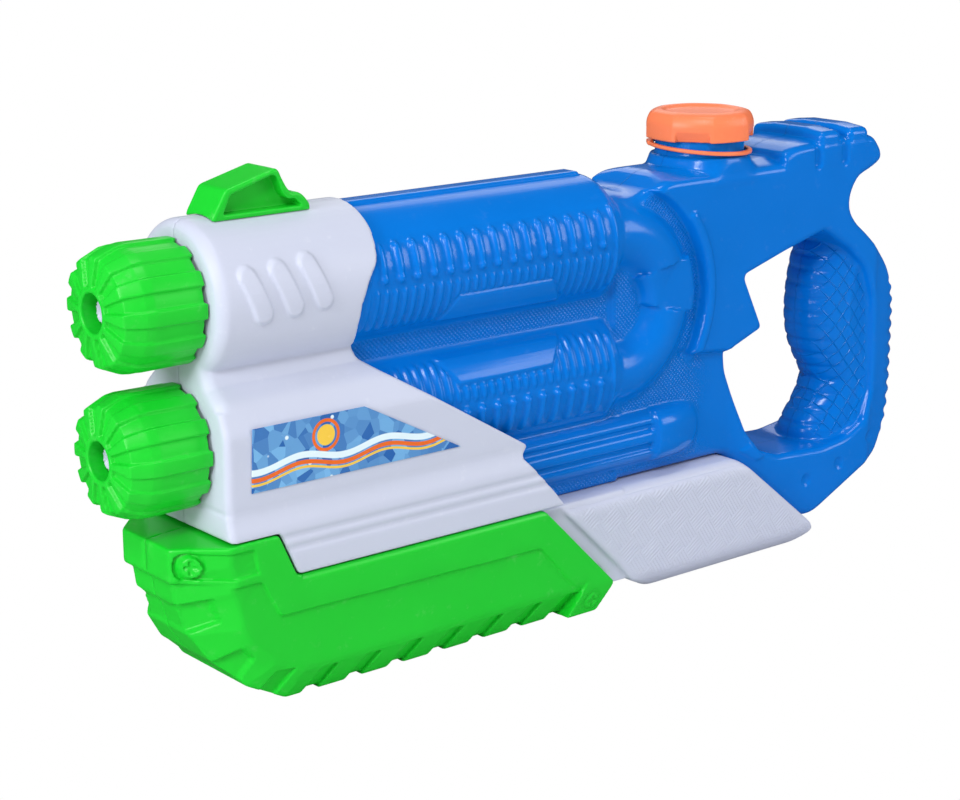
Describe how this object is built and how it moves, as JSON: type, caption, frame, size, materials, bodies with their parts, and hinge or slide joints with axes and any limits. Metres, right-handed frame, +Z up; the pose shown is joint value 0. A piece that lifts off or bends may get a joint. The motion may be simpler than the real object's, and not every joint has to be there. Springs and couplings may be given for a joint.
{
  "type": "water squirter",
  "caption": "Pump-action toy water squirter with stacked barrels, turning nozzle caps, screw filler cap, blow-moulded tank with closed handle and a sliding pump grip.",
  "frame": {"origin": "middle of the footprint, on the ground", "axes": "+X from the muzzle to the handle, +Z up, y = 0 is the moulding seam"},
  "size_m": [0.4054, 0.063, 0.1932],
  "materials": {
    "blue_plastic": "satin blow-moulded polyethylene",
    "orange_plastic": "satin moulded",
    "white_plastic": "satin moulded, cool white",
    "green_plastic": "satin moulded",
    "pump_plastic": "plain moulded",
    "black_rubber": "matte",
    "clear_hose": "smooth",
    "label_foil": "printed foil",
    "screw_steel": "plain steel"
  },
  "bodies": {
    "squirter": {"water_tank": "blue_plastic", "front_shell_left": "white_plastic", "front_shell_right": "white_plastic", "keel_left": "white_plastic", "keel_right": "white_plastic", "nozzle_jet_upper": "white_plastic", "nozzle_jet_lower": "white_plastic", "front_sight": "green_plastic", "outlet_manifold": "pump_plastic", "pump_cylinder": "pump_plastic", "gland_nut": "pump_plastic", "valve_block": "pump_plastic", "valve_plug": "pump_plastic", "tank_grommet": "black_rubber", "rod_seal": "black_rubber", "supply_hose": "clear_hose", "label_left": "label_foil", "label_right": "label_foil", "outlet_spring": "screw_steel", "shell_screw_1": "screw_steel", "shell_screw_2": "screw_steel", "shell_screw_3": "screw_steel", "shell_screw_4": "screw_steel", "keel_screw_1": "screw_steel", "keel_screw_2": "screw_steel"},
    "pump": {"grip_left": "green_plastic", "grip_right": "green_plastic", "pump_rod": "pump_plastic", "piston": "pump_plastic", "piston_seal": "black_rubber", "grip_screw_1": "screw_steel", "grip_screw_2": "screw_steel"},
    "cap_liner": {"cap_seal": "black_rubber"},
    "cap": {"filler_cap": "orange_plastic"},
    "tether": {"cap_tether": "orange_plastic"},
    "nozzle_upper": {"nozzle_cap_upper": "green_plastic"},
    "nozzle_lower": {"nozzle_cap_lower": "green_plastic"},
    "inlet_valve": {"inlet_ball": "screw_steel"},
    "outlet_valve": {"outlet_ball": "screw_steel"}
  },
  "joints": [
    {"name": "pump_slide", "type": "slide", "parent": "squirter", "child": "pump", "axis": [-1, 0, 0], "range_m": [0, 0.085]},
    {"name": "cap_lift", "type": "slide", "parent": "squirter", "child": "cap_liner", "axis": [0, 0, 1], "range_m": [0, 0.01005]},
    {"name": "cap_turn", "type": "hinge", "parent": "cap_liner", "child": "cap", "pos_m": [0.08575, 0, 0.187], "axis": [0, 0, 1], "range_deg": [0, 900]},
    {"name": "tether_turn", "type": "hinge", "parent": "squirter", "child": "tether", "pos_m": [0.08575, 0, 0.178], "axis": [0, 0, 1], "range_deg": [0, 945]},
    {"name": "nozzle_upper_turn", "type": "hinge", "parent": "squirter", "child": "nozzle_upper", "pos_m": [-0.185, 0, 0.148], "axis": [1, 0, 0], "continuous": true},
    {"name": "nozzle_lower_turn", "type": "hinge", "parent": "squirter", "child": "nozzle_lower", "pos_m": [-0.185, 0, 0.096], "axis": [1, 0, 0], "continuous": true},
    {"name": "inlet_lift", "type": "slide", "parent": "squirter", "child": "inlet_valve", "axis": [0, 0, 1], "range_m": [0, 0.002]},
    {"name": "outlet_lift", "type": "slide", "parent": "squirter", "child": "outlet_valve", "axis": [-1, 0, 0], "range_m": [0, 0.002], "stiffness_N_per_m": 60, "springref_m": -0.001, "deforming": ["outlet_spring"]}
  ],
  "couplings": [
    {"joint": "cap_lift", "follows": "cap_turn", "m_per_rad": 0.00063662},
    {"joint": "tether_turn", "follows": "cap_turn", "ratio": 1}
  ]
}
